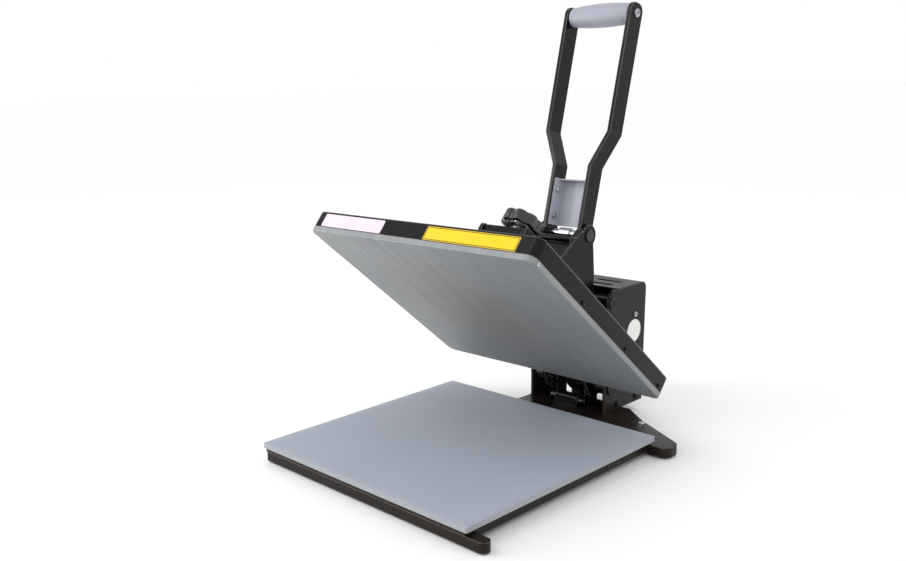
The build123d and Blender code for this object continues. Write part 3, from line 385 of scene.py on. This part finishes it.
# the pale edge colour #b4afaa is partly rubbed paint and partly a painted highlight along the edges
gloss_black = powder_coat("black gloss paint on plate and tube", "#0f0d0d", "#b4afaa", "#171414", 0.2)
paint(gloss_black, "hinge_pins", "link_shaft", "shaft_spacers", "arm_spacers")
paint(gloss_black, "spring_anchor", "spring_cylinders", "toggle_links")

# ---------------------------------------------------------------------------------------------
# Arms: two laser-cut 6 mm plates clamped on tubes by through bolts, with the threaded pressure block
# between them at the front and a beaded plate welded across the neck. Gloss black, with edges painted
# lighter as rubbed paint and painted highlight.

paint(gloss_black, "arm_left_plate", "arm_right_plate", "neck_plate", "pressure_block")

# ---------------------------------------------------------------------------------------------
# Heating platen: a machined aluminium plate, worn by use, with the tubular heater clamped on it, a
# glass-fibre blanket over that and a pressed steel cover, painted gloss black, round the edge.

hinge = next(joint for joint in frame["joints"] if joint["name"] == "arms_hinge")
OPEN_TURN = hinge["range_deg"][1]


def turned(points, degrees, centre):
    """Points turned about the X axis through `centre`: y and z rotate by `degrees`, x stays."""
    c, s = math.cos(math.radians(degrees)), math.sin(math.radians(degrees))
    about = np.array([[1, 0, 0], [0, c, -s], [0, s, c]])
    return (points - np.array(centre)) @ about.T + np.array(centre)


def raised(points):
    """Points drawn with the press closed, swung up about the arm hinge to the open rest place."""
    return turned(points, -OPEN_TURN, hinge["pos_m"])


plate_low, plate_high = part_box("heating_plate")
plate_metal, tree, shader, spot = begin("machined aluminium, worn and heat-tinted", Metallic=0.6)
# coordinates laid level again, so that X runs across the plate and Y along it
level = add(tree, "Mapping", {"Vector": spot, "Rotation": (math.radians(OPEN_TURN), 0.0, 0.0)})
STREAK_WIDE, STREAK_LONG = 0.006, 0.16
lay = (1 / STREAK_WIDE, 1 / STREAK_LONG, 1.0)
streaks = add(tree, "Mapping", {"Vector": level.outputs[0], "Scale": lay})
lines = add(tree, "TexNoise", {"Vector": streaks.outputs[0], "Scale": 1.0, "Detail": 5.0, "Roughness": 0.65})
cloud = add(tree, "TexNoise", {"Vector": level.outputs[0], "Scale": 7.0, "Detail": 6.0, "Roughness": 0.6})
tones = {6: linear("#7f8285"), 7: linear("#9b9d9e")}
tone = add(tree, "Mix", {0: cloud.outputs["Fac"], **tones}, data_type="RGBA")
streak = add(tree, "MapRange", {"Value": lines.outputs["Fac"], 1: 0.4, 2: 0.75, 3: 0.0, 4: 0.25})
lined = add(tree, "Mix", {0: streak.outputs[0], 6: tone.outputs[2], 7: linear("#b0b2b2")}, data_type="RGBA")
middle = (plate_low + plate_high) / 2
from_middle = add(tree, "VectorMath", {0: spot, 1: tuple(middle)}, operation="DISTANCE")
heat = add(tree, "MapRange", {"Value": from_middle.outputs["Value"], 1: 0.17, 2: 0.03, 3: 0.0, 4: 0.4})
colour = add(tree, "Mix", {0: heat.outputs[0], 6: lined.outputs[2], 7: linear("#8c867a")}, data_type="RGBA")
rough = add(tree, "MapRange", {"Value": lines.outputs["Fac"], 1: 0.3, 2: 0.7, 3: 0.6, 4: 0.48})
bump = add(tree, "Bump", {"Height": lines.outputs["Fac"], "Strength": 0.07, "Distance": 0.0002})
tree.links.new(colour.outputs[2], shader.inputs["Base Color"])
tree.links.new(rough.outputs[0], shader.inputs["Roughness"])
tree.links.new(bump.outputs[0], shader.inputs["Normal"])
paint(plate_metal, "heating_plate")

paint(plated_metal("oxidised heater sheath", "#6b645c", "#4a4540", 0.45), "heating_element")
paint(moulded_rubber("needled glass fibre", "#c9c6b8", "#b6b2a2", 0.9, grain=0.003), "insulation_blanket")
paint(gloss_black, "platen_cover", "thrust_plate")

platen_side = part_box("platen_cover")[1].x
COVER_SCREW = (0.0029, 0.0022)
edge_spots = [(-0.157, 0.0335)]
side_spots = [(-0.055, 0.0425), (0.065, 0.0425), (0.170, 0.0425)]
screw_kinds = (("front_edge_screws", edge_spots, zinc), ("cover_side_screws", side_spots, blackened))
for name, spots, metal in screw_kinds:
    heads = [
        raised(button_head(out * platen_side, y, BENCH + z, out, *COVER_SCREW))
        for out in (1, -1) for y, z in spots
    ]
    screw_set(name, heads, metal, "platen", "cover_screws")

# Two blank films on the front band: printed vinyl with cut round corners, pressed onto the paint.
# The yellow one has a thin dark printed line round it.
FILM = 0.00028
FILM_CORNER = 0.0015
FILM_HIGH, FILM_Z = 0.0192, BENCH + 0.0473
PLATEN_FRONT = -0.170


def film(name, middle_x, wide, material, replaced):
    """A thin rounded rectangle on the cover's front: rows step in from the cut edge, so that a border
    line can follow it, and its middle lies flat."""
    steps = np.array([0.0, 0.0, 0.0006, 0.0010, 0.0016, 0.0020, 0.005])
    rows = [rounded_outline(wide / 2 - s, FILM_HIGH / 2 - s, max(FILM_CORNER - s, 0.0004)) for s in steps]
    rows = np.array([*rows, rows[-1] * 0])
    stand = np.array([0.0, 1, 1, 1, 1, 1, 1, 1])[:, None] * -FILM
    front = np.broadcast_to(stand + PLATEN_FRONT, rows.shape[:2])
    grid = np.stack([middle_x + rows[..., 0], front, FILM_Z + rows[..., 1]], -1)
    border = np.repeat([0.0, 0, 0, 1, 1, 0, 0, 0], rows.shape[1])
    piece = make_piece(name, [raised(grid)], material, border=border)
    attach(piece, "platen")
    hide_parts(replaced)


white_film = printed_film("white vinyl film", "#e6d5e0", 0.4)
yellow_film = printed_film("yellow vinyl film", "#f5cb00", 0.4, line="#3a3420")
film("white_film", -0.116, 0.118, white_film, "white_label")
film("yellow_film", 0.093, 0.146, yellow_film, "yellow_label")

# ---------------------------------------------------------------------------------------------
# Heater and sensor leads: three silicone-jacketed leads, 6.5 mm thick and 97 mm long, from the gland
# on the platen round to the cable way in the bulkhead.

LEAD_R = 0.00325
LEAD_X = (-0.009, 0.0, 0.009)
leaving = raised(np.array([[0, 0.20405, BENCH + 0.049], [0, 0.2280, BENCH + 0.049]]))
lead_route = [*leaving[:, 1:].tolist(), (0.2520, 0.0310), (0.2630, 0.0150), (0.2740, 0.0060), (0.2910, 0.0040)]
lead_rubber = moulded_rubber("silicone lead jacket", "#17171a", "#222226", 0.32)
for number, lead_x in enumerate(LEAD_X):
    line = bpy.data.curves.new("lead_line", "CURVE")
    line.dimensions = "3D"
    spline = line.splines.new("NURBS")
    spline.points.add(len(lead_route) - 1)
    for point, (y, z) in zip(spline.points, lead_route):
        point.co = (lead_x, y, z, 1.0)
    spline.order_u = 3
    spline.use_endpoint_u = True
    line.bevel_depth = LEAD_R
    line.bevel_resolution = 6
    line.resolution_u = 16
    line.use_fill_caps = True
    drawn_line = bpy.data.objects.new("lead_line", line)
    mesh = bpy.data.meshes.new_from_object(drawn_line)
    bpy.data.objects.remove(drawn_line)
    mesh.polygons.foreach_set("use_smooth", np.ones(len(mesh.polygons), bool))
    mesh.materials.clear()
    mesh.materials.append(lead_rubber)
    lead = bpy.data.objects.new(f"heater_lead_{number + 1}", mesh)
    bpy.context.scene.collection.objects.link(lead)
    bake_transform(lead)
    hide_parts("heater_cable")

# ---------------------------------------------------------------------------------------------
# Pressure screw: an M16 rolled thread, bright, with a chromed collar and a lobed phenolic knob moulded
# on its end. The knob is compression moulded, so it is deep black, hard and glossy.

SCREW_TIP, THREAD_END, SCREW_END = BENCH + 0.0618, BENCH + 0.1520, BENCH + 0.1700
SCREW_R, THREAD_DEEP, PITCH = 0.008, 0.0009, 0.002
ROWS_PER_TURN = 10
up = np.arange(SCREW_TIP, THREAD_END, PITCH / ROWS_PER_TURN)
up = np.concatenate([[SCREW_TIP, SCREW_TIP], up, [SCREW_END, SCREW_END]])
around = np.linspace(0, 2 * math.pi, 40, endpoint=False)
# the ridge is a triangle wave of height along the axis, one pitch forward for each turn round it
phase = (up[:, None] / PITCH - around[None] / (2 * math.pi)) % 1.0
crest = 1 - np.abs(2 * phase - 1)
radius = SCREW_R - THREAD_DEEP * (1 - np.clip(crest * 1.3, 0, 1))
radius[0] = radius[-1] = 0.0
radius[1] = SCREW_R - THREAD_DEEP
radius[-2] = SCREW_R
height = np.broadcast_to(up[:, None], radius.shape)
thread = np.stack([radius * np.cos(around), radius * np.sin(around), height], -1)
screw = make_piece("threaded_screw", [raised(thread)], ground_steel, smooth=50)
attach(screw, "screw")
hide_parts("pressure_screw")

chrome = plated_metal("chrome plate on turned steel", "#dcdee2", "#b9bcc2", 0.1, lay=(500.0, 40.0, 40.0))
paint(chrome, "knob_collar", "pivot_sleeve")

# the pivot pin is chromed between the arm plates and painted with them on its two heads
ARM_FACE = 0.0407               # just outside the arm plates
pin_chrome = plated_metal("chromed pin with painted heads", "#dcdee2", "#b9bcc2", 0.1, lay=(500.0, 40.0, 40.0))
tree = pin_chrome.node_tree
shader = tree.nodes["Principled BSDF"]
place = add(tree, "SeparateXYZ", {0: add(tree, "TexCoord").outputs["Object"]})
outward = add(tree, "Math", {0: place.outputs["X"]}, operation="ABSOLUTE")
painted = add(tree, "Math", {0: outward.outputs[0], 1: ARM_FACE}, operation="GREATER_THAN")
bare = shader.inputs["Base Color"].links[0].from_socket
skin = add(tree, "Mix", {0: painted.outputs[0], 6: bare, 7: linear("#171415")}, data_type="RGBA")
metal = add(tree, "Math", {0: 1.0, 1: painted.outputs[0]}, operation="SUBTRACT")
tree.links.new(skin.outputs[2], shader.inputs["Base Color"])
tree.links.new(metal.outputs[0], shader.inputs["Metallic"])
paint(pin_chrome, "pivot_pin")

KNOB_LOW = BENCH + 0.160
KNOB_R, LOBES, HOLLOW = 0.029, 8, 0.0036
# rows from the underside's middle, out, up the rim, over the crown to a shallow dished cap
knob_r = np.array([0.0, 9, 17, 24, 27.4, 28.6, 29, 29, 28.7, 27.8, 26.2, 22.5, 17, 14.4, 13.8, 12.9, 8, 0]) / 29
knob_z = np.array(
    [2.0, 2, 1.2, 0, 0.3, 1.3, 3.4, 13, 15.4, 16.9, 17.9, 18.9, 19.6, 19.8, 19.2, 18.9, 18.9, 18.9]
)
lobed = np.array([0.0, 0, 0.1, 0.7, 0.95, 1, 1, 1, 1, 0.95, 0.85, 0.5, 0.1, 0, 0, 0, 0, 0])
around = np.linspace(0, 2 * math.pi, 192, endpoint=False)
dip = (0.5 + 0.5 * np.cos(LOBES * around)) ** 1.6
radius = KNOB_R * knob_r[:, None] - HOLLOW * lobed[:, None] * dip[None]
lift = np.broadcast_to(KNOB_LOW + knob_z[:, None] / 1000, radius.shape)
knob_grid = np.stack([radius * np.cos(around), radius * np.sin(around), lift], -1)
phenolic = moulded_plastic("black phenolic moulding", "#0e0e0f", "#141415", 0.14, relief=0.04, clear=0.5)
knob = make_piece("lobed_knob", [raised(knob_grid)], phenolic, smooth=50)
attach(knob, "screw")
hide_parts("knob")

# ---------------------------------------------------------------------------------------------
# Handle: two flat bars, stepped outward, painted gloss black, tied low down by a folded bracket in
# grey satin paint, and at the top by a rod through a moulded barrel grip.

paint(gloss_black, "handle_left_bar", "handle_right_bar")
# the lighter edge colour #d8d9df is partly rubbed paint and partly a painted highlight along the edges
satin_grey = powder_coat("grey satin paint on folded sheet", "#bfc1cd", "#d8d9df", "#b1b3c0", 0.42)
paint(satin_grey, "handle_bracket")

handle_pivot = next(joint for joint in frame["joints"] if joint["name"] == "handle_turn")["pos_m"]
HANDLE_LEAN = 14.0
GRIP_UP = 0.313


def on_handle(points):
    """Points drawn on an upright handle with its pivot at the origin, leant back and set on the pivot."""
    return turned(points, -HANDLE_LEAN, (0, 0, 0)) + np.array(handle_pivot)


GRIP_HALF, GRIP_END, GRIP_MIDDLE, ROD_R = 0.050, 0.0135, 0.0165, 0.005
t = np.linspace(-1, 1, 121)
barrel = GRIP_END + (GRIP_MIDDLE - GRIP_END) * (1 - t**2)
corner = np.clip((1 - np.abs(t)) / 0.045, 0, 1)
barrel -= 0.0022 * (1 - np.sqrt(1 - (1 - corner) ** 2))
barrel -= 0.0006 * np.exp(-(((np.abs(t) - 0.86) / 0.012) ** 2))
along = np.concatenate([[-1, -1], t, [1, 1]]) * GRIP_HALF
barrel = np.concatenate([[0, ROD_R], barrel, [ROD_R, 0]])
around = np.linspace(0, 2 * math.pi, 96, endpoint=False)
seam = 0.00018 * np.exp(-((np.sin(around) / 0.03) ** 2)) * (barrel > 0.01)[:, None]
radius = barrel[:, None] + seam
across = np.broadcast_to(along[:, None], radius.shape)
grip_grid = np.stack([across, radius * np.cos(around), GRIP_UP + radius * np.sin(around)], -1)
nylon = moulded_plastic("grey nylon moulding", "#989ba7", "#a1a4b0", 0.4, grain=0.0018, relief=0.12)
grip = make_piece("barrel_grip", [on_handle(grip_grid)], nylon)
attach(grip, "handle")
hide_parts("grip")

BAR_OUT, BRACKET_IN = 0.0565, 0.026
heads = [on_handle(button_head(out * BAR_OUT, 0.0, GRIP_UP, out, 0.006, 0.003)) for out in (1, -1)]
heads += [
    on_handle(button_head(out * BRACKET_IN, -0.002, z, -out, 0.0045, 0.003))
    for out in (1, -1) for z in (0.024, 0.062)
]
bolts = make_piece("handle_button_screws", heads, zinc)
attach(bolts, "handle")
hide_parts("handle_bolts")

# ---------------------------------------------------------------------------------------------
# Studio: a pale floor under white surroundings, a broad soft light from above, a tall soft strip from
# the front left that draws the bars' narrow front faces, and the camera.

floor_material, tree, shader, spot = begin("pale studio floor", Metallic=0.0, Roughness=0.6)
shader.inputs["Base Color"].default_value = linear("#fdfdfd")
FLOOR_R = 60.0
around = np.linspace(0, 2 * math.pi, 64, endpoint=False)
disc = np.stack([np.cos(around), np.sin(around), around * 0], -1) * FLOOR_R
floor_mesh = bpy.data.meshes.new("studio_floor")
floor_mesh.from_pydata(disc + np.array([0, 0, BENCH]), [], [list(range(64))])
floor_mesh.materials.append(floor_material)
floor = bpy.data.objects.new("studio_floor", floor_mesh)
bpy.context.scene.collection.objects.link(floor)

world = bpy.data.worlds.new("white surroundings")
world.use_nodes = True
world.node_tree.nodes["Background"].inputs["Color"].default_value = linear("#ffffff")
world.node_tree.nodes["Background"].inputs["Strength"].default_value = 1.0
bpy.context.scene.world = world


def soft_light(name, place, aim, wide, high, watts):
    """A rectangular area light at `place` that looks at `aim`."""
    lamp = bpy.data.lights.new(name, "AREA")
    lamp.shape = "RECTANGLE"
    lamp.size, lamp.size_y = wide, high
    lamp.energy = watts
    holder = bpy.data.objects.new(name, lamp)
    bpy.context.scene.collection.objects.link(holder)
    direction = Vector(aim) - Vector(place)
    holder.rotation_euler = direction.to_track_quat("-Z", "Y").to_euler()
    holder.location = place


soft_light("key light", (-1.2, -1.8, 2.4), (0, 0, 0.1), 1.6, 1.6, 16.0)
soft_light("strip light", (-1.6, -1.5, 0.55), (0, 0.1, 0.25), 0.3, 1.2, 14.0)

AZIMUTH, ELEVATION, ROLL = 46.80, 15.41, -1.60
CAMERA_AT = (0.83313, -0.88224, 0.46966)
az, el, roll = (math.radians(angle) for angle in (AZIMUTH, ELEVATION, ROLL))
back = np.array([math.sin(az) * math.cos(el), -math.cos(az) * math.cos(el), math.sin(el)])
right = np.array([math.cos(az), math.sin(az), 0.0])
upward = np.cross(back, right)
rolled_right = math.cos(roll) * right + math.sin(roll) * upward
rolled_up = -math.sin(roll) * right + math.cos(roll) * upward
lens = bpy.data.cameras.new("camera")
lens.lens, lens.sensor_width = 37.49, 36.0
lens.shift_x, lens.shift_y = 0.0560, 0.0717
lens.clip_start = 0.01
camera = bpy.data.objects.new("camera", lens)
bpy.context.scene.collection.objects.link(camera)
pose = np.eye(4)
pose[:3, 0], pose[:3, 1], pose[:3, 2], pose[:3, 3] = rolled_right, rolled_up, back, CAMERA_AT
camera.matrix_world = Matrix(pose.tolist())
bpy.context.scene.camera = camera
bpy.context.scene.view_settings.view_transform = "Standard"
